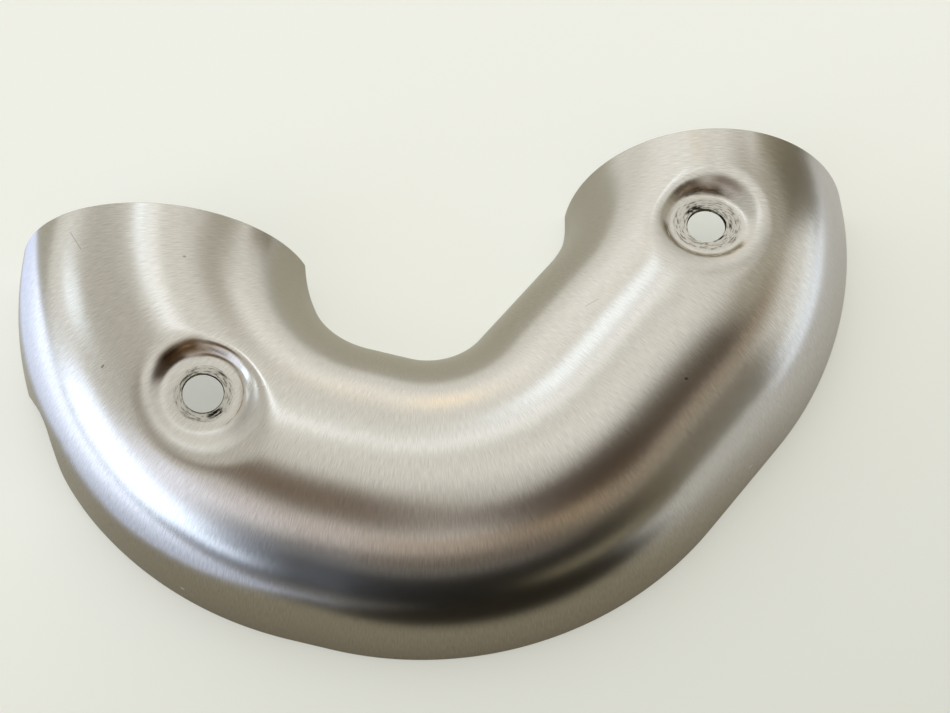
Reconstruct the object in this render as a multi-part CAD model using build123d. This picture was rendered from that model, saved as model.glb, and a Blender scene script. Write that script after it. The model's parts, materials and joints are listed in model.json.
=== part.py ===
from build123d import *
import math
import os

# Exhaust heat shield: one pressed stainless sheet, half round in section,
# that covers the upper side of a pipe with three bends.
# Sizes in millimetres, angles in degrees. +Z is up, away from the pipe.

# Sheet and section
shield_radius = 27.0  # outer face of the sheet, from the pipe's centre line
sheet = 0.8

# Pipe centre line, from the left end, round the bends, to the right end
left_straight = 1.0
left_bend_radius = 43.0
left_bend_turn = 77.5
front_straight = 7.5
front_bend_radius = 38.5
front_bend_turn = 63.0
right_straight = 21.0
right_bend_radius = 42.0
right_bend_turn = 40.5
right_end_straight = 3.0
front_dip = 3.0  # the front corner of the centre line lies this far below the trim plane
right_end_dip = 3.2  # and the right end this far

# Bolt seats drawn down into the crown
seat_diameter = 14.0
seat_depth = 2.7
seat_wall = 38.5  # slope of the wall round a seat, midway between its slack and its steep side
seat_wall_shift = 0.85  # sideways run of the whole wall, toward its slack side, per unit of height
seat_corner = 1.2  # radius at the foot of that wall, outer face
seat_rim = 4.0  # radius at the top of that wall, outer face
seat_tilt = 4.5  # of both seats, facing along the centre line toward the right end
bolt_hole = 6.6  # M6 clearance
left_seat_at = 37.3  # along the centre line from the left end
left_seat_lean = 3.5  # turn of the seat about the centre line, to the outside of the bend
left_seat_slack = -12.0  # turn of the slack side, from the outside of the bend to the right end
right_seat_from_end = 18.2
right_seat_lean = -3.5
right_seat_slack = 15.0

# Trim of the left leg: a rounded notch in the outer wall and a sloped end to the inner wall
notch_at = 22.5  # along the centre line from the left end
notch_width = 26.0
notch_height = 12.8  # to the sharp top of the notch, before it is rounded
notch_top_radius = 7.0
notch_foot_radius = 10.0
inner_relief_height = 6.0
inner_relief_run = 13.0

overrun = 2 * shield_radius  # how far cutting bodies reach past the sheet
plan = 6 * shield_radius  # more than the shield's length


def centre_line(extra):
    """The pipe's centre line, with both ends run on straight by extra."""
    radii = (left_bend_radius, front_bend_radius, right_bend_radius)
    turns = (left_bend_turn, front_bend_turn, right_bend_turn)
    straights = (left_straight + extra, front_straight, right_straight, right_end_straight + extra)
    reach = [radius * math.tan(math.radians(turn / 2)) for radius, turn in zip(radii, turns)]
    legs = [run + before + after for run, before, after in zip(straights, [0] + reach, reach + [0])]
    end_height = -right_end_dip * legs[3] / (legs[3] - extra)
    heading = -90
    corners = [Vector(0, extra, 0)]
    for leg, turn, height in zip(legs, turns + (0,), (0, -front_dip, 0, end_height)):
        step = Vector(leg, 0, 0).rotate(Axis.Z, heading)
        corners.append(Vector(corners[-1].X + step.X, corners[-1].Y + step.Y, height))
        heading += turn
    return FilletPolyline(*corners, radius=radii)


def line_frame(at):
    """Point on the centre line, the way it runs there, and the level way out of the bend."""
    line = centre_line(0)
    point = line.position_at(at, position_mode=PositionMode.LENGTH)
    along = line.tangent_at(at, position_mode=PositionMode.LENGTH)
    return point, along, along.cross(Vector(0, 0, 1)).normalized()


def seat_plane(at, lean, slack):
    """Plane of a bolt seat: origin on its face, normal out of the shield, X to the slack side."""
    point, along, outward = line_frame(at)
    up = outward.cross(along).rotate(Axis((0, 0, 0), along), lean)
    tilted = up.rotate(Axis((0, 0, 0), up.cross(along)), seat_tilt)
    slack_side = outward.rotate(Axis((0, 0, 0), tilted), slack)
    return Plane(point + up * (shield_radius - seat_depth), x_dir=slack_side, z_dir=tilted)


def seat_tool(inset):
    """The hollow of one seat, grown by inset for the inner face of the sheet."""
    run = 1 / math.tan(math.radians(seat_wall))
    slack = inset * math.tan(math.atan2(1, run + seat_wall_shift) / 2)
    steep = inset * math.tan(math.atan2(1, run - seat_wall_shift) / 2)
    foot = (seat_diameter + slack + steep) / 2
    height = 3 * seat_depth + inset
    aside = (slack - steep) / 2
    low = Pos(aside, 0, -inset) * Circle(foot)
    high = Pos(aside + seat_wall_shift * height, 0, height - inset) * Circle(foot + run * height)
    hollow = loft([low, high], ruled=True)
    return fillet(hollow.edges().sort_by(Axis.Z)[0], seat_corner + inset)


def skin(inset, extra):
    """Round bar on the centre line with the seats sunk into it: the body under one face of the sheet."""
    line = centre_line(extra)
    section = Plane(line @ 0, x_dir=(0, 0, -1), z_dir=line % 0) * Circle(shield_radius - inset)
    bar = sweep(section, path=line)
    for plane in seats:
        bar = bar - plane * seat_tool(inset)
        rim = bar.edges().filter_by(GeomType.BSPLINE)
        rim = rim.filter_by(lambda edge: (edge.center() - plane.origin).length < seat_diameter)
        bar = fillet(rim, seat_rim - inset)
    return bar


seats = (
    seat_plane(left_seat_at, left_seat_lean, left_seat_slack),
    seat_plane(centre_line(0).length - right_seat_from_end, right_seat_lean, right_seat_slack),
)
shell = skin(0, 0) - skin(sheet, overrun)

# All below the trim plane goes
shell = shell - Box(2 * plan, 2 * plan, overrun, align=(Align.CENTER, Align.CENTER, Align.MAX))

# Rounded notch in the outer wall of the left leg
notch = make_face(
    Polyline(
        (-notch_width, -overrun),
        (-notch_width, 0),
        (-notch_width / 2, 0),
        (0, notch_height),
        (notch_width / 2, 0),
        (notch_width, 0),
        (notch_width, -overrun),
        close=True,
    )
)
notch = fillet(notch.vertices().sort_by(Axis.Y)[-1], notch_top_radius)
feet = notch.vertices().filter_by_position(Axis.X, -notch_width * 0.6, notch_width * 0.6)
notch = fillet(feet.filter_by_position(Axis.Y, -sheet, sheet), notch_foot_radius)
point, along, outward = line_frame(notch_at)
wall = Plane((point.X, point.Y, 0), x_dir=Vector(0, 0, 1).cross(outward), z_dir=outward)
shell = shell - extrude(wall * notch, overrun)

# Sloped end of the inner wall of the left leg
slope = inner_relief_height / inner_relief_run
relief = make_face(
    Polyline(
        (overrun, -overrun),
        (overrun, inner_relief_height + slope * overrun),
        (-inner_relief_run, 0),
        (-inner_relief_run, -overrun),
        close=True,
    )
)
shell = shell - extrude(Plane.YZ * relief, overrun)

for plane in seats:
    shell = shell - plane * Cylinder(bolt_hole / 2, 6 * sheet)

# Origin in the middle of the plan, on the plane the trim rests on
box = shell.bounding_box()
shell = Pos(-box.center().X, -box.center().Y, -box.min.Z) * shell

os.makedirs("parts", exist_ok=True)
export_step(shell, "parts/shield_shell.step")
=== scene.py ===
import json
import math

import bpy
from mathutils import Matrix, Vector


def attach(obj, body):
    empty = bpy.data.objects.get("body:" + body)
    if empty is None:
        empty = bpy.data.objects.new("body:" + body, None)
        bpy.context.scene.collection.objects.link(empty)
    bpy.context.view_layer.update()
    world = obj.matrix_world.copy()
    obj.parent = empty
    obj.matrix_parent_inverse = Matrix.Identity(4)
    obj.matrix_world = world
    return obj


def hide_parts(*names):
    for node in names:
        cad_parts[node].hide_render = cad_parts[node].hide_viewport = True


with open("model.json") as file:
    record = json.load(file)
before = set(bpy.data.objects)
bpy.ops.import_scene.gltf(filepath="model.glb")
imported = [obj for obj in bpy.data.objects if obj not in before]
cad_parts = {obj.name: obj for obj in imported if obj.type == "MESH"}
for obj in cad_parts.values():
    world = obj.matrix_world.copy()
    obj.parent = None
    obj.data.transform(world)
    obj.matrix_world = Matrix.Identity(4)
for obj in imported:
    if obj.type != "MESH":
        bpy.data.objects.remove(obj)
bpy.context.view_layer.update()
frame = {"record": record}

MM = 0.001

# Sizes of the pressed sheet, in millimetres and degrees, in the part's frame
SHIELD_RADIUS = 27.0
SHEET = 0.8
SHEARED_EDGE = 0.16
# Centre line of the pipe under it: its left end, the straights and bends from there on, and the
# heights of its corners and right end over the trim plane
LEFT_END = (-50.936, 26.319)
STRAIGHTS = (1.0, 7.5, 21.0, 3.0)
BEND_RADII = (43.0, 38.5, 42.0)
BEND_TURNS = (77.5, 63.0, 40.5)
CORNER_HEIGHTS = (0.0, -3.0, 0.0, -3.2)
# Bolt seats: radius of the flat, the wall's run for each millimetre of its height, how much longer
# that is on its slack side, and how far foot and rim are blended
SEAT_RADIUS = 7.0
SEAT_WALL_RUN = 1.3
SEAT_WALL_SHIFT = 0.6
SEAT_FOOT_BLEND = 0.7
SEAT_RIM_BLEND = 3.6
# Trim of the left leg: a notch in its outer wall and a slope at the end of its inner wall
NOTCH_AT = 22.5
# Half of the notch's outline from its middle: run along the wall, height
NOTCH_OUTLINE = [(0.0, 9.97), (4.9, 7.97), (10.1, 2.88), (17.1, 0.0)]
NOTCH_REACH = NOTCH_OUTLINE[-1][0]
INNER_RELIEF_HEIGHT = 6.0
INNER_RELIEF_RUN = 13.0

# Each seat: its bolt hole in the record, its place along the centre line, how far it leans out of
# the bend, how far its wall's slack side is turned from that way, and the bend it lies in
SEATS = (
    {"mount": "left_bolt_hole", "at": 37.3, "lean": 3.5, "slack": -5, "bend": 0},
    {"mount": "right_bolt_hole", "from_end": 18.2, "lean": -3.5, "slack": -50, "bend": 2},
)

# Rows of the sheet's mesh, the rings of it between which square turns to round about a hole, and
# the points in each bend of the centre line and the step along it
ROWS_ALONG = 273
ROWS_ROUND = 143
HOLE_RING = 6
BLEND_RING = 26
BEND_POINTS = 60
LINE_STEP = 0.4
FACE_MAP = "sheet_map"

# Brushed finish: hairlines to the millimetre along the shield and across it, and the roughness of
# the brushed face, of the scuffs of a screw head, and of the near side of a seat's wall
HAIRLINES = (6.5, 0.5)
BRUSHED = 0.25
SCUFFED = 0.45
DULL_WALL = 0.42

# Scuffs round a bolt hole: gap between their rings, how much the noise that breaks a ring changes
# in one radian of it, their soft edge, and the levels of that noise between which flecks of them
# appear and dark arcs are torn
SCUFF_GAP = 0.2
SCUFF_BREAKS = 4.0
SCUFF_EDGE = 0.35
FLECK_NOISE = (0.51, 0.62)
TORN_NOISE = (0.36, 0.5)
# Drawn wall of a seat: its inner and outer radius and soft edge, and half the width over which it
# turns from dull to burnished
DRAWN_WALL = (6.6, 11.0, 0.8)
BURNISH_BLEND = 3.0
# Wear and the soft arcs' painted shade are on the outer face only: from one height over the middle of
# the sheet to another, with a soft edge. The bore's painted shade reaches a width past the hole's edge,
# with a soft edge, and dark arcs have soft ends (radians).
OUTER_FACE = (-0.35, 9.0, 0.1)
BORE_EDGE = (0.12, 0.04)
ARC_END = 0.15
# Marks of use round each bolt hole, and painted shade on its wall: how far the scuffs of the screw head
# reach, how rough the far side of the wall is, and dark arcs, each with its start and end angle from +X
# toward +Y, inner and outer radius, soft edge and colour. The sharp arcs are marks, the soft ones painted
# shade
SEAT_WEAR_AND_SHADE = {
    "left_bolt_hole": (
        4.9,
        0.19,
        (
            (-75, -38, 3.5, 4.5, 0.12, "#1E1C18"),
            (120, 160, 3.9, 4.3, 0.12, "#5A564C"),
            (40, 65, 4.3, 4.7, 0.12, "#4E4A40"),
            (-58, 30, 6.45, 6.6, 0.12, "#8A6E48"),
            # Painted shade: a soft dark crescent high on the seat's wall
            (98, 146, 7.4, 9.6, 0.8, "#6A563E"),
        ),
    ),
    "right_bolt_hole": (
        5.9,
        0.27,
        (
            (95, 145, 3.6, 4.5, 0.12, "#26241F"),
            (-80, -42, 3.3, 3.9, 0.12, "#1E1C18"),
            (-12, 12, 3.9, 4.3, 0.12, "#34312B"),
            # Painted shade: the next two soft dark arcs, in the crease at the wall's foot and on its top side
            (178, 325, 6.7, 7.7, 0.35, "#7C7460"),
            (66, 106, 6.9, 8.0, 0.6, "#5E5240"),
        ),
    ),
}
# Scratches and specks on the face: both ends, half the width, and colour
MARKS = (
    ((-63.2, 21.8, 24.0), (-60.6, 18.0, 25.0), 0.08, "#A09C92"),
    ((26.2, 8.9, 23.6), (28.4, 10.1, 24.1), 0.08, "#A6A298"),
    ((54.9, -13.2, 6.3), (56.2, -12.3, 5.9), 0.12, "#E8E6DE"),
    ((-41.1, -35.8, 4.5), (-40.8, -35.7, 4.5), 0.3, "#FFFFFF"),
    ((-54.1, -4.1, 24.0), (-53.9, -3.9, 24.1), 0.2, "#86827A"),
    ((-42.4, 16.2, 25.9), (-42.2, 16.2, 25.9), 0.18, "#928E84"),
    ((42.5, -4.4, 23.5), (42.7, -4.4, 23.5), 0.2, "#6A665C"),
)

# The floor: half its width, and the light of its own that it shows to the camera, which makes it pale
FLOOR_HALF = 3000
FLOOR_LIFT = 0.6

# Cards outside the picture that only the metal shows: corners, colour, and a place along X and the
# glow there, twice. Two lie just over the floor, as light on it, and one stands up.
CARDS = (
    (
        "window_light",
        (
            (-300, -140, 0.1),
            (-44, -140, 0.1),
            (-58, -58, 0.1),
            (-68, -34, 0.1),
            (-84, -14, 0.1),
            (-84, 45, 0.1),
            (-300, 45, 0.1),
        ),
        "#D6E2FF",
        (-76, 1.25),
        (-150, 3.0),
    ),
    (
        "lamp_light",
        ((150, -25, 0.1), (400, -25, 0.1), (400, 110, 0.1), (150, 110, 0.1)),
        "#E4EEFF",
        (150, 1.6),
        (200, 2.2),
    ),
    (
        "dark_post",
        ((105, 128, 3), (160, 78, 3), (160, 78, 66), (105, 128, 66)),
        "#847E6E",
        (112, 1.9),
        (130, 1.0),
    ),
)

# Soft panels round the shield, each over those before it: azimuth from +Y, the north, toward +X and
# elevation of its middle, its width and height, its soft edge (degrees), colour and strength
PANELS = (
    ("west wall", -82, 50, 88, 52, 18, "#E8E6E0", 1.0),
    ("north-east wall", 44, 34, 50, 22, 14, "#CAC7BA", 1.0),
    ("east haze", 76, 38, 30, 30, 14, "#D6D2C4", 1.0),
    ("east wall", 122, 52, 70, 33, 12, "#422C14", 1.0),
    ("south ceiling", 183, 66, 50, 24, 12, "#D4CECA", 1.0),
    ("south-west ceiling", -140, 67, 76, 28, 14, "#7A6450", 1.0),
    ("east shelf", 112, 32, 80, 9, 8, "#B4A088", 1.0),
    ("south-east shelf", 138, 41, 24, 8, 8, "#D0B898", 1.0),
    ("south dim", 174, 34, 64, 16, 12, "#8E8276", 1.0),
    ("south shelf", 182, 46, 60, 9, 8, "#D8C4B4", 1.0),
    ("south-west shelf", -142, 43, 34, 12, 8, "#FAF4FC", 1.1),
    ("south-west wall", -146, 14, 22, 40, 10, "#9CA2B3", 1.0),
    ("east dim", 119, 12, 44, 32, 10, "#7E7560", 1.0),
    ("south dark", 168, 8, 84, 41, 18, "#1E1C18", 1.0),
    ("south-east sill", 137, 6, 30, 6, 6, "#A69E86", 1.0),
    ("window", -113, -2, 45, 44, 9, "#D2E2FF", 3.8),
    ("window sill", -119, 0, 56, 20, 8, "#D2E2FF", 3.9),
    ("skirting", -139, 1, 22, 6, 4, "#3A4050", 1.0),
    ("window top", -122, 30, 24, 20, 8, "#E8ECFF", 1.9),
    ("window edge", -74, 22, 8, 13, 5, "#E0EEFF", 3.4),
    ("north shelf", 0, 20, 73, 13, 12, "#FFFFFF", 1.5),
    ("north-west shelf", -29, 29, 16, 22, 8, "#FFFFFF", 1.5),
    ("north-west lamp", -22, 50, 11, 14, 7, "#E4F0FF", 3.8),
    ("lamp end", -9, 61, 16, 10, 6, "#F4F8FF", 2.4),
    ("ceiling lamp", 50, 76, 60, 9, 8, "#FFFFFF", 1.5),
    ("north lamp", -6, 22, 10, 11, 8, "#FFEBCC", 2.0),
    ("east lamp", 80, 1, 36, 8, 5, "#E8F2FF", 2.2),
)
# The pale ceiling between the panels
CEILING = "#FFFFFD"
CEILING_STRENGTH = 1.18

# The photograph's view: the point that it looks at, its turn to the left, its pitch down, its roll
# and its distance, then the focal length and the picture's width in pixels, and the sensor's width
VIEW_TARGET = (7.308, 10.786, 0.0)
VIEW_TURN = 1.674
VIEW_PITCH = 63.572
VIEW_ROLL = -0.662
VIEW_DISTANCE = 259.291
FOCAL_PIXELS = 1400
PICTURE_PIXELS = 950
SENSOR = 36.0


def linear(hex_colour):
    """Linear RGBA of an sRGB hex colour."""
    parts = [int(hex_colour[start : start + 2], 16) / 255 for start in (1, 3, 5)]
    return [part / 12.92 if part <= 0.04045 else ((part + 0.055) / 1.055) ** 2.4 for part in parts] + [1.0]


def add(tree, kind, inputs=None, **settings):
    """Adds a node with its settings, links or sets its inputs, and gives its outputs."""
    node = tree.nodes.new(kind)
    for name, value in settings.items():
        setattr(node, name, value)
    for key, value in (inputs or {}).items():
        if isinstance(value, bpy.types.NodeSocket):
            tree.links.new(value, node.inputs[key])
        else:
            node.inputs[key].default_value = value
    return node.outputs


def show(name, data):
    """Puts a new object into the scene, at the origin."""
    thing = bpy.data.objects.new(name, data)
    bpy.context.scene.collection.objects.link(thing)
    return thing


# Centre line of the pipe that the shield covers


def bend_reaches():
    """How far each bend's straight tangents run on from its arc to its corner."""
    return [radius * math.tan(math.radians(turn / 2)) for radius, turn in zip(BEND_RADII, BEND_TURNS)]


def centre_line_corners():
    """Corners of the centre line, from the left end to the right end."""
    reach = [0.0] + bend_reaches() + [0.0]
    heading = -90.0
    corners = [Vector((*LEFT_END, 0.0))]
    legs = zip(reach, STRAIGHTS, reach[1:], CORNER_HEIGHTS, (*BEND_TURNS, 0.0))
    for before, straight, after, height, turn in legs:
        leg = before + straight + after
        step = Vector((leg * math.cos(math.radians(heading)), leg * math.sin(math.radians(heading))))
        corners.append(Vector((corners[-1].x + step.x, corners[-1].y + step.y, height)))
        heading += turn
    return corners


def centre_line_curve():
    """The corners as an open line, each with its bend's radius."""
    line = bpy.data.curves.new("centre_line", "CURVE")
    line.dimensions = "3D"
    spline = line.splines.new("POLY")
    corners = centre_line_corners()
    spline.points.add(len(corners) - 1)
    for point, corner, radius in zip(spline.points, corners, (0.0, *BEND_RADII, 0.0)):
        point.co = (*(corner * MM), 1.0)
        point.radius = radius * MM
    return show("shield_sheet_line", line)


# The pressed sheet, as a rule: rows along the centre line, half round in section


def section_frame(tree, line, along):
    """Centre, way out of the bend, and way up, of the section that lies that far along."""
    spot = add(tree, "GeometryNodeSampleCurve", {"Curves": line, "Length": along}, mode="LENGTH")
    side = add(tree, "ShaderNodeVectorMath", {0: spot["Tangent"], 1: (0, 0, 1)}, operation="CROSS_PRODUCT")
    outward = add(tree, "ShaderNodeVectorMath", {0: side[0]}, operation="NORMALIZE")[0]
    up = add(tree, "ShaderNodeVectorMath", {0: outward, 1: spot["Tangent"]}, operation="CROSS_PRODUCT")[0]
    return spot["Position"], outward, up


def on_section(tree, section, radius, angle):
    """Point of a section at an angle from the outer foot, over the crown, to the inner foot."""
    centre, outward, up = section
    cosine = add(tree, "ShaderNodeMath", {0: angle}, operation="COSINE")[0]
    sine = add(tree, "ShaderNodeMath", {0: angle}, operation="SINE")[0]
    across = add(tree, "ShaderNodeVectorMath", {0: outward, "Scale": cosine}, operation="SCALE")[0]
    rise = add(tree, "ShaderNodeVectorMath", {0: up, "Scale": sine}, operation="SCALE")[0]
    spoke = add(tree, "ShaderNodeVectorMath", {0: across, 1: rise})[0]
    reach = add(tree, "ShaderNodeVectorMath", {0: spoke, "Scale": radius}, operation="SCALE")[0]
    return add(tree, "ShaderNodeVectorMath", {0: centre, 1: reach})[0]


def foot_angle(tree, section, radius, height):
    """Angle above the level at which a section's wall reaches a height."""
    centre, _, up = section
    low = add(tree, "ShaderNodeSeparateXYZ", {0: centre})["Z"]
    steep = add(tree, "ShaderNodeSeparateXYZ", {0: up})["Z"]
    rise = add(tree, "ShaderNodeMath", {0: height, 1: low}, operation="SUBTRACT")[0]
    reach = add(tree, "ShaderNodeMath", {0: radius, 1: steep}, operation="MULTIPLY")[0]
    sine = add(tree, "ShaderNodeMath", {0: rise, 1: reach}, operation="DIVIDE")[0]
    return add(tree, "ShaderNodeMath", {0: sine}, operation="ARCSINE")[0]


def notch_height(tree, line, size, wall_point):
    """Height of the rounded notch that is cut into the outer wall of the left leg."""
    spot = add(tree, "GeometryNodeSampleCurve", {"Curves": line, "Length": size["Notch At"]}, mode="LENGTH")
    offset = add(tree, "ShaderNodeVectorMath", {0: wall_point, 1: spot["Position"]}, operation="SUBTRACT")[0]
    run = add(tree, "ShaderNodeVectorMath", {0: offset, 1: spot["Tangent"]}, operation="DOT_PRODUCT")["Value"]
    share = add(tree, "ShaderNodeMapRange", {0: run, 1: -NOTCH_REACH * MM, 2: NOTCH_REACH * MM})[0]
    profile = add(tree, "ShaderNodeFloatCurve", {"Value": share})[0]
    mapping = profile.node.mapping
    mapping.use_clip = False
    points = mapping.curves[0].points
    outline = NOTCH_OUTLINE[::-1] + [(-side, height) for side, height in NOTCH_OUTLINE[1:]]
    places = [(0.5 - side / (2 * NOTCH_REACH), height / NOTCH_REACH) for side, height in outline]
    points[0].location = places[0]
    points[-1].location = places[-1]
    for place in places[1:-1]:
        points.new(*place)
    mapping.update()
    return add(tree, "ShaderNodeMath", {0: profile, 1: NOTCH_REACH * MM}, operation="MULTIPLY")[0]


def relief_height(tree, size, along, wall_point):
    """Height of the slope that ends the inner wall of the left leg."""
    back = add(tree, "ShaderNodeSeparateXYZ", {0: wall_point})["Y"]
    end = LEFT_END[1] * MM
    near = {0: back, 2: end, 3: 0.0, 4: size["Relief Height"]}
    near[1] = add(tree, "ShaderNodeMath", {0: end, 1: size["Relief Run"]}, operation="SUBTRACT")[0]
    slope = add(tree, "ShaderNodeMapRange", near, clamp=True)[0]
    # The right leg passes the same Y, but further along
    left_leg = add(tree, "ShaderNodeMath", {0: along, 1: BEND_RADII[0] * MM}, operation="LESS_THAN")[0]
    return add(tree, "ShaderNodeMath", {0: slope, 1: left_leg}, operation="MULTIPLY")[0]


def seat_middle(tree, seat, length):
    """How far along the centre line a seat lies."""
    if "at" in seat:
        return add(tree, "ShaderNodeMath", {0: seat["at"] * MM, 1: 0.0})[0]
    return add(tree, "ShaderNodeMath", {0: length, 1: seat["from_end"] * MM}, operation="SUBTRACT")[0]


def round_the_hole(tree, size, seat, length, rows, spot):
    """Turns the square rings of the mesh about a seat into circles, the innermost as wide as the
    hole. Gives the new places along and round, and each point's ring."""
    lean = math.radians(90.0 - seat["lean"])
    middle = seat_middle(tree, seat, length)
    share = add(tree, "ShaderNodeMath", {0: middle, 1: length}, operation="DIVIDE")[0]
    row = add(tree, "ShaderNodeMath", {0: share, 1: ROWS_ALONG - 1}, operation="MULTIPLY")[0]
    row = add(tree, "ShaderNodeMath", {0: row}, operation="ROUND")[0]
    rows_off = add(tree, "ShaderNodeMath", {0: rows[0], 1: row}, operation="SUBTRACT")[0]
    middle_round = round((ROWS_ROUND - 1) * lean / math.pi)
    round_off = add(tree, "ShaderNodeMath", {0: rows[1], 1: middle_round}, operation="SUBTRACT")[0]
    far_along = add(tree, "ShaderNodeMath", {0: rows_off}, operation="ABSOLUTE")[0]
    far_round = add(tree, "ShaderNodeMath", {0: round_off}, operation="ABSOLUTE")[0]
    ring = add(tree, "ShaderNodeMath", {0: far_along, 1: far_round}, operation="MAXIMUM")[0]
    square = add(tree, "ShaderNodeCombineXYZ", {"X": rows_off, "Y": round_off})[0]
    spoke = add(tree, "ShaderNodeVectorMath", {0: square}, operation="NORMALIZE")[0]
    step = add(tree, "ShaderNodeMath", {0: size["Hole Radius"], 1: HOLE_RING}, operation="DIVIDE")[0]
    wide = add(tree, "ShaderNodeMath", {0: ring, 1: step}, operation="MULTIPLY")[0]
    disc = add(tree, "ShaderNodeVectorMath", {0: spoke, "Scale": wide}, operation="SCALE")[0]
    disc = add(tree, "ShaderNodeSeparateXYZ", {0: disc})
    # The bend's own polar coordinates of that point, level over the crown
    bend = BEND_RADII[seat["bend"]] * MM
    reach = add(tree, "ShaderNodeMath", {0: bend, 1: disc["Y"]}, operation="SUBTRACT")[0]
    plan = add(tree, "ShaderNodeCombineXYZ", {"X": reach, "Y": disc["X"]})[0]
    far = add(tree, "ShaderNodeVectorMath", {0: plan}, operation="LENGTH")["Value"]
    turn = add(tree, "ShaderNodeMath", {0: disc["X"], 1: reach}, operation="ARCTAN2")[0]
    along = add(tree, "ShaderNodeMath", {0: turn, 1: bend, 2: middle}, operation="MULTIPLY_ADD")[0]
    across = add(tree, "ShaderNodeMath", {0: far, 1: bend}, operation="SUBTRACT")[0]
    across = add(tree, "ShaderNodeMath", {0: across, 1: size["Shield Radius"]}, operation="DIVIDE")[0]
    cosine = add(tree, "ShaderNodeMath", {0: across, 1: math.cos(lean)})[0]
    angle = add(tree, "ShaderNodeMath", {0: cosine}, operation="ARCCOSINE")[0]
    square_share = {0: ring, 1: HOLE_RING, 2: BLEND_RING}
    weight = add(tree, "ShaderNodeMapRange", square_share, interpolation_type="SMOOTHSTEP")[0]
    along = add(tree, "ShaderNodeMix", {0: weight, 2: along, 3: spot[0]}, data_type="FLOAT")[0]
    angle = add(tree, "ShaderNodeMix", {0: weight, 2: angle, 3: spot[1]}, data_type="FLOAT")[0]
    return (along, angle), ring


def seat_face(seat):
    """Middle of a seat's face and the way it faces, from its bolt hole in the record."""
    mount = next(hole for hole in frame["record"]["mounts"] if hole["name"] == seat["mount"])
    axis = Vector(mount["axis"]).normalized()
    return Vector(mount["pos_m"]) + axis * mount["dims"]["length_mm"] * MM / 2, axis


def sink_seat(tree, size, seat, section, point):
    """Draws a flat seat down into the crown, with soft corners and a wall that is slack on one
    side and steep on the other."""
    origin, axis = seat_face(seat)
    _, outward, up = section
    turned = {"Vector": outward, "Axis": up, "Angle": math.radians(seat["slack"])}
    slack = add(tree, "ShaderNodeVectorRotate", turned, rotation_type="AXIS_ANGLE")[0]
    offset = add(tree, "ShaderNodeVectorMath", {0: point, 1: origin}, operation="SUBTRACT")[0]
    height = add(tree, "ShaderNodeVectorMath", {0: offset, 1: axis}, operation="DOT_PRODUCT")["Value"]
    above = add(tree, "ShaderNodeVectorMath", {0: axis, "Scale": height}, operation="SCALE")[0]
    level = add(tree, "ShaderNodeVectorMath", {0: offset, 1: above}, operation="SUBTRACT")[0]
    radius = add(tree, "ShaderNodeVectorMath", {0: level}, operation="LENGTH")["Value"]
    outside = add(tree, "ShaderNodeMath", {0: radius, 1: size["Seat Radius"]}, operation="SUBTRACT")[0]
    spoke = add(tree, "ShaderNodeVectorMath", {0: level}, operation="NORMALIZE")[0]
    facing = add(tree, "ShaderNodeVectorMath", {0: spoke, 1: slack}, operation="DOT_PRODUCT")["Value"]
    run = {0: facing, 1: size["Seat Wall Shift"], 2: size["Seat Wall Run"]}
    run = add(tree, "ShaderNodeMath", run, operation="MULTIPLY_ADD")[0]
    wall = add(tree, "ShaderNodeMath", {0: outside, 1: run}, operation="DIVIDE")[0]
    foot = {0: wall, 1: 0.0, 2: size["Seat Foot Blend"]}
    bowl = add(tree, "ShaderNodeMath", foot, operation="SMOOTH_MAX")[0]
    rim = {0: height, 1: bowl, 2: size["Seat Rim Blend"]}
    drawn = add(tree, "ShaderNodeMath", rim, operation="SMOOTH_MIN")[0]
    drop = add(tree, "ShaderNodeMath", {0: drawn, 1: height}, operation="SUBTRACT")[0]
    shift = add(tree, "ShaderNodeVectorMath", {0: axis, "Scale": drop}, operation="SCALE")[0]
    return add(tree, "ShaderNodeVectorMath", {0: point, 1: shift})[0]


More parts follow.
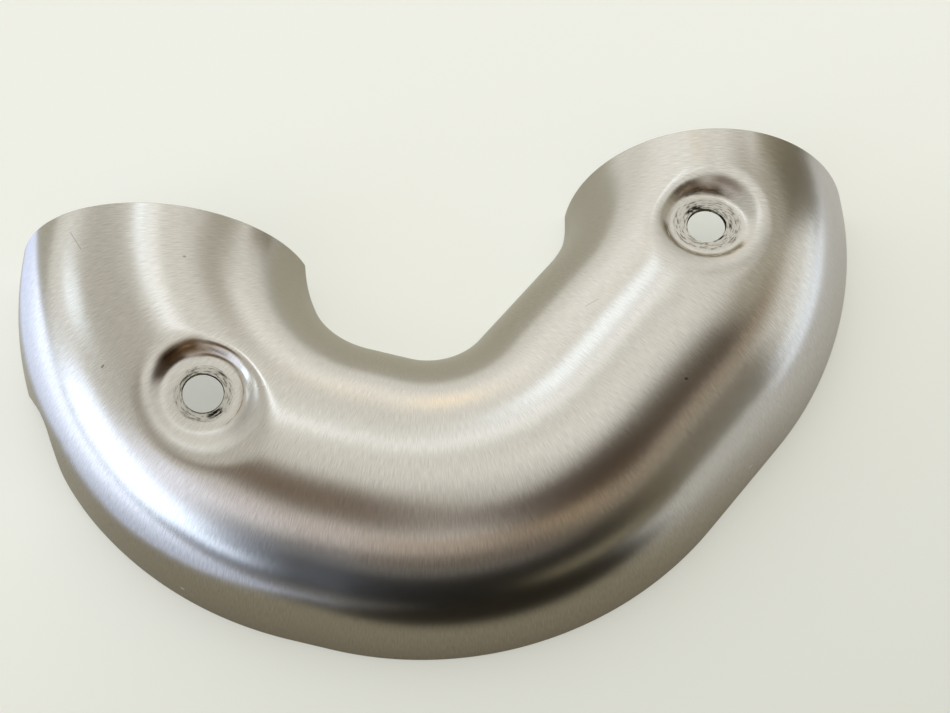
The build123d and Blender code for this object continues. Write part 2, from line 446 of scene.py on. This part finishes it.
def pressed_sheet_tree(sizes, steel):
    """Rule of the sheet's outer face: a grid that is laid over the centre line."""
    tree = bpy.data.node_groups.new("pressed_sheet", "GeometryNodeTree")
    tree.interface.new_socket("Geometry", in_out="INPUT", socket_type="NodeSocketGeometry")
    for name in sizes:
        tree.interface.new_socket(name, in_out="INPUT", socket_type="NodeSocketFloat")
    tree.interface.new_socket("Geometry", in_out="OUTPUT", socket_type="NodeSocketGeometry")
    size = add(tree, "NodeGroupInput")

    bend_radius = add(tree, "GeometryNodeInputRadius")[0]
    bent = {"Curve": size["Geometry"], "Count": BEND_POINTS, "Radius": bend_radius}
    line = add(tree, "GeometryNodeFilletCurve", bent, mode="POLY")[0]
    steps = {"Curve": line, "Length": LINE_STEP * MM}
    line = add(tree, "GeometryNodeResampleCurve", steps, mode="LENGTH")[0]
    length = add(tree, "GeometryNodeCurveLength", {"Curve": line})[0]
    rows = {"Size X": 1.0, "Size Y": 1.0, "Vertices X": ROWS_ALONG, "Vertices Y": ROWS_ROUND}
    grid = add(tree, "GeometryNodeMeshGrid", rows)[0]
    place = add(tree, "ShaderNodeSeparateXYZ", {0: add(tree, "GeometryNodeInputPosition")[0]})
    share_along = add(tree, "ShaderNodeMath", {0: place["X"], 1: 0.5})[0]
    share_round = add(tree, "ShaderNodeMath", {0: place["Y"], 1: 0.5})[0]
    row_along = add(tree, "ShaderNodeMath", {0: share_along, 1: ROWS_ALONG - 1}, operation="MULTIPLY")[0]
    row_round = add(tree, "ShaderNodeMath", {0: share_round, 1: ROWS_ROUND - 1}, operation="MULTIPLY")[0]

    # Trim: every section ends where its walls meet the trim's height
    radius = size["Shield Radius"]
    along = add(tree, "ShaderNodeMath", {0: share_along, 1: length}, operation="MULTIPLY")[0]
    section = section_frame(tree, line, along)
    level = foot_angle(tree, section, radius, 0.0)
    far_level = add(tree, "ShaderNodeMath", {0: math.pi, 1: level}, operation="SUBTRACT")[0]
    notch = notch_height(tree, line, size, on_section(tree, section, radius, level))
    relief = relief_height(tree, size, along, on_section(tree, section, radius, far_level))
    outer_foot = foot_angle(tree, section, radius, notch)
    inner_foot = foot_angle(tree, section, radius, relief)
    inner_foot = add(tree, "ShaderNodeMath", {0: math.pi, 1: inner_foot}, operation="SUBTRACT")[0]
    angle = {0: share_round, 2: outer_foot, 3: inner_foot}
    angle = add(tree, "ShaderNodeMix", angle, data_type="FLOAT")[0]

    spot = (along, angle)
    holes = []
    for seat in SEATS:
        spot, ring = round_the_hole(tree, size, seat, length, (row_along, row_round), spot)
        holes.append(add(tree, "ShaderNodeMath", {0: ring, 1: HOLE_RING - 0.5}, operation="LESS_THAN")[0])
    point = on_section(tree, section_frame(tree, line, spot[0]), radius, spot[1])
    for seat in SEATS:
        section = section_frame(tree, line, seat_middle(tree, seat, length))
        point = sink_seat(tree, size, seat, section, point)

    # Map of the face for the hairlines: metres along the shield and round it
    arc = add(tree, "ShaderNodeMath", {0: spot[1], 1: radius}, operation="MULTIPLY")[0]
    brushed = add(tree, "ShaderNodeCombineXYZ", {"X": spot[0], "Y": arc})[0]
    face_map = {"Geometry": grid, "Name": FACE_MAP, "Value": brushed}
    sheet = add(tree, "GeometryNodeStoreNamedAttribute", face_map, data_type="FLOAT2", domain="CORNER")[0]
    for hole in holes:
        cut = {"Geometry": sheet, "Selection": hole}
        sheet = add(tree, "GeometryNodeDeleteGeometry", cut, domain="POINT")[0]
    sheet = add(tree, "GeometryNodeSetPosition", {"Geometry": sheet, "Position": point})[0]
    sheet = add(tree, "GeometryNodeSetShadeSmooth", {"Geometry": sheet})[0]
    sheet = add(tree, "GeometryNodeRealizeInstances", {"Geometry": sheet})[0]
    sheet = add(tree, "GeometryNodeSetMaterial", {"Geometry": sheet, "Material": steel})[0]
    add(tree, "NodeGroupOutput", {"Geometry": sheet})
    return tree


def plain_mesh(thing, name):
    """What an object's modifiers make of it, as a new object with a plain mesh."""
    depsgraph = bpy.context.evaluated_depsgraph_get()
    made = thing.evaluated_get(depsgraph)
    mesh = bpy.data.meshes.new_from_object(made, preserve_all_data_layers=True, depsgraph=depsgraph)
    mesh.name = name
    return show(name, mesh)


def pressed_sheet(steel):
    """The whole shield: the ruled face, given its thickness and its sheared edges, as a plain mesh."""
    hole = frame["record"]["mounts"][0]["dims"]["r_mm"]
    sizes = {
        "Shield Radius": SHIELD_RADIUS * MM,
        "Hole Radius": hole * MM,
        "Seat Radius": SEAT_RADIUS * MM,
        "Seat Wall Run": SEAT_WALL_RUN,
        "Seat Wall Shift": SEAT_WALL_SHIFT,
        "Seat Foot Blend": SEAT_FOOT_BLEND * MM,
        "Seat Rim Blend": SEAT_RIM_BLEND * MM,
        "Notch At": NOTCH_AT * MM,
        "Relief Height": INNER_RELIEF_HEIGHT * MM,
        "Relief Run": INNER_RELIEF_RUN * MM,
    }
    line = centre_line_curve()
    rule = line.modifiers.new("pressed_sheet", "NODES")
    rule.node_group = pressed_sheet_tree(sizes, steel)
    for socket in rule.node_group.interface.items_tree:
        if socket.in_out == "INPUT" and socket.name in sizes:
            rule[socket.identifier] = sizes[socket.name]
    face = plain_mesh(line, "shield_face")
    bpy.data.objects.remove(line)
    wall = face.modifiers.new("sheet", "SOLIDIFY")
    wall.thickness = SHEET * MM
    wall.offset = -1.0
    wall.use_even_offset = True
    wall.use_quality_normals = True
    edge = face.modifiers.new("sheared_edge", "BEVEL")
    edge.width = SHEARED_EDGE * MM
    edge.segments = 2
    edge.limit_method = "ANGLE"
    edge.angle_limit = math.radians(50)
    edge.harden_normals = True
    shield = plain_mesh(face, "shield_sheet")
    bpy.data.objects.remove(face)
    # The trimmed edges lie flat on the floor
    for vertex in shield.data.vertices:
        vertex.co.z = max(vertex.co.z, 0.0)
    return shield


# Material


def within(tree, value, start, end, soft):
    """One where a value lies between start and end, and nought outside, with soft steps."""
    rise = {0: value, 1: start - soft, 2: start + soft}
    rise = add(tree, "ShaderNodeMapRange", rise, interpolation_type="SMOOTHSTEP")[0]
    fall = {0: value, 1: end - soft, 2: end + soft, 3: 1.0, 4: 0.0}
    fall = add(tree, "ShaderNodeMapRange", fall, interpolation_type="SMOOTHSTEP")[0]
    return add(tree, "ShaderNodeMath", {0: rise, 1: fall}, operation="MULTIPLY")[0]


def seat_wear_and_shade(tree, place, tint, rough, mount):
    """What a screw head leaves on its seat, a dull ring of scuffs and black marks, and painted shade: a dark
    bore and soft dark arcs on the seat's wall.
    """
    reach, burnished, arcs = SEAT_WEAR_AND_SHADE[mount["name"]]
    up = Vector(mount["axis"]).normalized()
    right = Vector((0, 1, 0)).cross(up).normalized()
    off = {0: place, 1: mount["pos_m"]}
    off = add(tree, "ShaderNodeVectorMath", off, operation="SUBTRACT")[0]
    parts = []
    for axis in (right, up.cross(right), up):
        parts.append(add(tree, "ShaderNodeVectorMath", {0: off, 1: axis}, operation="DOT_PRODUCT")[1])
    flat = add(tree, "ShaderNodeCombineXYZ", {"X": parts[0], "Y": parts[1]})[0]
    radius = add(tree, "ShaderNodeVectorMath", {0: flat}, operation="LENGTH")[1]
    angle = add(tree, "ShaderNodeMath", {0: parts[1], 1: parts[0]}, operation="ARCTAN2")[0]
    outside = within(tree, parts[2], *(height * MM for height in OUTER_FACE))

    # Broken rings, the way the screw head turned: noise that changes slowly round the hole and
    # fast away from it
    way = add(tree, "ShaderNodeVectorMath", {0: flat}, operation="NORMALIZE")[0]
    way = add(tree, "ShaderNodeVectorMath", {0: way, "Scale": SCUFF_BREAKS}, operation="SCALE")[0]
    way = add(tree, "ShaderNodeSeparateXYZ", {0: way})
    apart = add(tree, "ShaderNodeMath", {0: radius, 1: SCUFF_GAP * MM}, operation="DIVIDE")[0]
    turned = add(tree, "ShaderNodeCombineXYZ", {"X": way["X"], "Y": way["Y"], "Z": apart})[0]
    broken = add(tree, "ShaderNodeTexNoise", {"Vector": turned, "Scale": 1.0, "Detail": 3.0})[0]

    scuffed = within(tree, radius, 0, reach * MM, SCUFF_EDGE * MM)
    scuffed = add(tree, "ShaderNodeMath", {0: scuffed, 1: outside}, operation="MULTIPLY")[0]
    tint = {"Factor": scuffed, 6: tint, 7: linear("#BFBBB0")}
    tint = add(tree, "ShaderNodeMix", tint, data_type="RGBA")[2]
    rough = {"Factor": scuffed, 2: rough, 3: SCUFFED}
    rough = add(tree, "ShaderNodeMix", rough)[0]
    # The punch has burnished the wall on the far side of the seat and left the near side dull
    drawn = within(tree, radius, *(size * MM for size in DRAWN_WALL))
    drawn = add(tree, "ShaderNodeMath", {0: drawn, 1: outside}, operation="MULTIPLY")[0]
    burnish = {0: parts[1], 1: -BURNISH_BLEND * MM, 2: BURNISH_BLEND * MM, 3: DULL_WALL, 4: burnished}
    burnish = add(tree, "ShaderNodeMapRange", burnish)[0]
    rough = {"Factor": drawn, 2: rough, 3: burnish}
    rough = add(tree, "ShaderNodeMix", rough)[0]
    # Flecks of the broken rings in the scuffs
    fleck = {0: broken, 1: FLECK_NOISE[0], 2: FLECK_NOISE[1], 4: 0.8}
    fleck = add(tree, "ShaderNodeMapRange", fleck)[0]
    fleck = add(tree, "ShaderNodeMath", {0: fleck, 1: scuffed}, operation="MULTIPLY")[0]
    tint = {"Factor": fleck, 6: tint, 7: linear("#5C584E")}
    tint = add(tree, "ShaderNodeMix", tint, data_type="RGBA")[2]
    # Dark arcs: a sharp one is torn into flecks, a soft one is nearly whole painted shade on the seat's wall
    for start, end, inner, outer, soft, colour in arcs:
        middle = math.radians(start + end) / 2
        turn = add(tree, "ShaderNodeMath", {0: angle, 1: middle}, operation="SUBTRACT")[0]
        turn = add(tree, "ShaderNodeMath", {0: turn, 1: math.pi, 2: -math.pi}, operation="WRAP")[0]
        half = math.radians(end - start) / 2
        share = within(tree, turn, -half, half, ARC_END)
        band = within(tree, radius, inner * MM, outer * MM, soft * MM)
        share = add(tree, "ShaderNodeMath", {0: share, 1: band}, operation="MULTIPLY")[0]
        share = add(tree, "ShaderNodeMath", {0: share, 1: outside}, operation="MULTIPLY")[0]
        torn = {0: broken, 1: TORN_NOISE[0], 2: TORN_NOISE[1], 3: soft}
        torn = add(tree, "ShaderNodeMapRange", torn)[0]
        share = add(tree, "ShaderNodeMath", {0: share, 1: torn}, operation="MULTIPLY")[0]
        tint = {"Factor": share, 6: tint, 7: linear(colour)}
        tint = add(tree, "ShaderNodeMix", tint, data_type="RGBA")[2]
    # Painted shade: the bore's wall and a thin band past its edge are darkened as if in shadow
    edge, soft = BORE_EDGE
    bore = within(tree, radius, 0, (mount["dims"]["r_mm"] + edge) * MM, soft * MM)
    tint = {"Factor": bore, 6: tint, 7: linear("#0E0D0B")}
    tint = add(tree, "ShaderNodeMix", tint, data_type="RGBA")[2]
    return tint, rough


def small_marks(tree, place, tint):
    """Short scratches and specks of dirt on the face."""
    for start, end, half, colour in MARKS:
        start, end = Vector(start) * MM, Vector(end) * MM
        run = end - start
        off = add(tree, "ShaderNodeVectorMath", {0: place, 1: start}, operation="SUBTRACT")[0]
        share = {0: off, 1: run / run.length_squared}
        share = add(tree, "ShaderNodeVectorMath", share, operation="DOT_PRODUCT")[1]
        share = add(tree, "ShaderNodeClamp", {0: share})[0]
        foot = add(tree, "ShaderNodeVectorMath", {0: run, "Scale": share}, operation="SCALE")[0]
        gap = add(tree, "ShaderNodeVectorMath", {0: off, 1: foot}, operation="DISTANCE")[1]
        # Its edge fades from 0.6 to 1.4 of its half width
        mark = {0: gap, 1: half * MM * 0.6, 2: half * MM * 1.4, 3: 1.0, 4: 0.0}
        mark = add(tree, "ShaderNodeMapRange", mark)[0]
        tint = {"Factor": mark, 6: tint, 7: linear(colour)}
        tint = add(tree, "ShaderNodeMix", tint, data_type="RGBA")[2]
    return tint


def brushed_stainless():
    """Stainless sheet with a brushed mill finish: a slightly warm grey mirror, blurred by fine
    hairlines that run across the shield, scuffed dull where the screw heads sat."""
    steel = bpy.data.materials.new("brushed_stainless")
    steel.use_nodes = True
    tree = steel.node_tree
    tree.nodes.clear()
    face = add(tree, "ShaderNodeUVMap", uv_map=FACE_MAP)[0]
    # Hairlines about 0.15 mm apart and 2 mm long, coarser than real ones so that they show
    fine = {0: face, 1: (HAIRLINES[0] / MM, HAIRLINES[1] / MM, 0.0)}
    fine = add(tree, "ShaderNodeVectorMath", fine, operation="MULTIPLY")[0]
    hairline = add(tree, "ShaderNodeTexNoise", {"Vector": fine, "Scale": 1.0, "Detail": 2.0})[0]
    rough = BRUSHED
    shade = {"Factor": hairline, 6: linear("#D0CCC2"), 7: linear("#A8A49B")}
    tint = add(tree, "ShaderNodeMix", shade, data_type="RGBA")[2]
    place = add(tree, "ShaderNodeTexCoord")["Object"]
    tint = small_marks(tree, place, tint)
    for mount in frame["record"]["mounts"]:
        tint, rough = seat_wear_and_shade(tree, place, tint, rough, mount)
    along = add(tree, "ShaderNodeTangent", direction_type="UV_MAP", uv_map=FACE_MAP)[0]
    surface = {
        "Base Color": tint,
        "Metallic": 1.0,
        "Roughness": rough,
        "Anisotropic": 0.6,
        "Tangent": along,
    }
    shader = add(tree, "ShaderNodeBsdfPrincipled", surface)[0]
    add(tree, "ShaderNodeOutputMaterial", {"Surface": shader})
    return steel


# Floor, light and camera


def pale_floor():
    """Matt pale paper under the shield: even and dull, with painted shade that makes it a little darker
    toward the front right.
    """
    mesh = bpy.data.meshes.new("floor")
    half = FLOOR_HALF * MM
    corners = [(-half, -half, 0), (half, -half, 0), (half, half, 0), (-half, half, 0)]
    mesh.from_pydata(corners, [], [(0, 1, 2, 3)])
    paper = bpy.data.materials.new("pale_paper")
    paper.use_nodes = True
    tree = paper.node_tree
    tree.nodes.clear()
    spot = add(tree, "ShaderNodeTexCoord")["Object"]
    place = add(tree, "ShaderNodeSeparateXYZ", {0: spot})
    path = add(tree, "ShaderNodeLightPath")
    # Painted shade: the paper's colour falls a little toward the front right, where the light falls off
    front_right = {0: spot, 1: (0.45, -1.0, 0.0)}
    front_right = add(tree, "ShaderNodeVectorMath", front_right, operation="DOT_PRODUCT")[1]
    share = add(tree, "ShaderNodeMapRange", {0: front_right, 1: -15 * MM, 2: 100 * MM})[0]
    pale = {"Factor": share, 6: linear("#CCCDC5"), 7: linear("#BABBB2")}
    pale = add(tree, "ShaderNodeMix", pale, data_type="RGBA")[2]

    # What the metal shows of the floor is painted shade: dark far in front, grey there to the left, paler
    # close to the shield, pale behind it and palest to its right
    slant = {0: place["Y"], 1: 1.2, 2: 52 * MM}
    slant = add(tree, "ShaderNodeMath", slant, operation="MULTIPLY_ADD")[0]
    slant = add(tree, "ShaderNodeMath", {0: slant, 1: place["X"]})[0]
    east = add(tree, "ShaderNodeMath", {0: slant, 1: place["X"]}, operation="MINIMUM")[0]
    front = add(tree, "ShaderNodeMath", {0: place["Y"], 1: 30 * MM})[0]
    south_west = add(tree, "ShaderNodeMath", {0: front, 1: place["X"]}, operation="MAXIMUM")[0]
    near = {0: spot, 1: (-0.25, 1.0, 0.0)}
    near = add(tree, "ShaderNodeVectorMath", near, operation="DOT_PRODUCT")[1]
    zones = (
        (south_west, -20, -60, "#8E8C88"),
        (near, -82, -60, "#B6B09C"),
        (place["Y"], -50, 15, "#DCDACB"),
        (east, 40, 100, "#FAFCFC"),
    )
    colour = linear("#2C2820")
    for across, start, end, zone in zones:
        share = {0: across, 1: start * MM, 2: end * MM}
        share = add(tree, "ShaderNodeMapRange", share, interpolation_type="SMOOTHSTEP")[0]
        mixed = {"Factor": share, 6: colour, 7: linear(zone)}
        colour = add(tree, "ShaderNodeMix", mixed, data_type="RGBA")[2]
    colour = {"Factor": path["Is Glossy Ray"], 6: pale, 7: colour}
    colour = add(tree, "ShaderNodeMix", colour, data_type="RGBA")[2]
    matt = add(tree, "ShaderNodeBsdfDiffuse", {"Color": colour})[0]
    lift = add(tree, "ShaderNodeMath", {0: path["Is Camera Ray"], 1: FLOOR_LIFT}, operation="MULTIPLY")[0]
    glow = add(tree, "ShaderNodeEmission", {"Color": pale, "Strength": lift})[0]
    shader = add(tree, "ShaderNodeAddShader", {0: matt, 1: glow})[0]
    add(tree, "ShaderNodeOutputMaterial", {"Surface": shader})
    mesh.materials.append(paper)
    return show("floor", mesh)


def card(name, corners, colour, near, far):
    """Flat glowing card that shows only in the metal, its glow changing along X."""
    mesh = bpy.data.meshes.new(name)
    mesh.from_pydata([Vector(corner) * MM for corner in corners], [], [range(len(corners))])
    glow = bpy.data.materials.new(name)
    glow.use_nodes = True
    tree = glow.node_tree
    tree.nodes.clear()
    across = add(tree, "ShaderNodeSeparateXYZ", {0: add(tree, "ShaderNodeTexCoord")["Object"]})["X"]
    strength = {0: across, 1: near[0] * MM, 2: far[0] * MM, 3: near[1], 4: far[1]}
    strength = add(tree, "ShaderNodeMapRange", strength)[0]
    shader = add(tree, "ShaderNodeEmission", {"Color": linear(colour), "Strength": strength})[0]
    add(tree, "ShaderNodeOutputMaterial", {"Surface": shader})
    mesh.materials.append(glow)
    sheet = show(name, mesh)
    sheet.visible_camera = False
    sheet.visible_diffuse = False
    sheet.visible_shadow = False
    return sheet


def soft_room():
    """The light: a pale ceiling all round, with the soft panels set into it."""
    world = bpy.data.worlds.new("soft_room")
    world.use_nodes = True
    tree = world.node_tree
    tree.nodes.clear()
    way = add(tree, "ShaderNodeSeparateXYZ", {0: add(tree, "ShaderNodeTexCoord")["Generated"]})
    azimuth = add(tree, "ShaderNodeMath", {0: way["X"], 1: way["Y"]}, operation="ARCTAN2")[0]
    elevation = add(tree, "ShaderNodeMath", {0: way["Z"]}, operation="ARCSINE")[0]
    light = add(tree, "ShaderNodeRGB")[0]
    light.default_value = [part * CEILING_STRENGTH for part in linear(CEILING)]
    for name, turn, rise, width, height, soft, colour, strength in PANELS:
        mask = None
        for angle, middle, size in ((azimuth, turn, width), (elevation, rise, height)):
            off = {0: angle, 1: math.radians(middle)}
            off = add(tree, "ShaderNodeMath", off, operation="SUBTRACT")[0]
            off = add(tree, "ShaderNodeMath", {0: off, 1: math.pi, 2: -math.pi}, operation="WRAP")[0]
            off = add(tree, "ShaderNodeMath", {0: off}, operation="ABSOLUTE")[0]
            edge = {0: off, 3: 1.0, 4: 0.0}
            edge[1] = math.radians((size - soft) / 2)
            edge[2] = math.radians((size + soft) / 2)
            inside = add(tree, "ShaderNodeMapRange", edge, interpolation_type="SMOOTHSTEP", label=name)[0]
            if mask is None:
                mask = inside
            else:
                mask = add(tree, "ShaderNodeMath", {0: mask, 1: inside}, operation="MULTIPLY")[0]
        glow = [part * strength for part in linear(colour)]
        layer = {"Factor": mask, 6: light, 7: glow}
        light = add(tree, "ShaderNodeMix", layer, data_type="RGBA")[2]
    seen = {"Factor": add(tree, "ShaderNodeLightPath")["Is Camera Ray"], 6: light, 7: linear("#ECEDE4")}
    light = add(tree, "ShaderNodeMix", seen, data_type="RGBA")[2]
    glow = add(tree, "ShaderNodeBackground", {"Color": light, "Strength": 1.0})[0]
    add(tree, "ShaderNodeOutputWorld", {"Surface": glow})
    return world


def photo_camera():
    """The photograph's view, from in front and above, turned and rolled a little."""
    turn, pitch, roll = (math.radians(angle) for angle in (VIEW_TURN, VIEW_PITCH, VIEW_ROLL))
    ahead = Vector((-math.sin(turn), math.cos(turn), 0.0))
    level = Vector((math.cos(turn), math.sin(turn), 0.0))
    down = Vector((0.0, 0.0, -1.0))
    look = ahead * math.cos(pitch) + down * math.sin(pitch)
    above = ahead * math.sin(pitch) - down * math.cos(pitch)
    right = level * math.cos(roll) + above * math.sin(roll)
    above = above * math.cos(roll) - level * math.sin(roll)
    lens = bpy.data.cameras.new("photo_camera")
    lens.sensor_fit = "HORIZONTAL"
    lens.sensor_width = SENSOR
    lens.lens = SENSOR * FOCAL_PIXELS / PICTURE_PIXELS
    lens.clip_start = 0.01
    camera = show("photo_camera", lens)
    camera.matrix_world = Matrix((right, above, -look)).transposed().to_4x4()
    camera.location = (Vector(VIEW_TARGET) - look * VIEW_DISTANCE) * MM
    return camera


shield = pressed_sheet(brushed_stainless())
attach(shield, "root")
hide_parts("shield_shell")
pale_floor()
for flat_card in CARDS:
    card(*flat_card)
bpy.context.scene.world = soft_room()
bpy.context.scene.camera = photo_camera()
bpy.context.scene.view_settings.view_transform = "Standard"
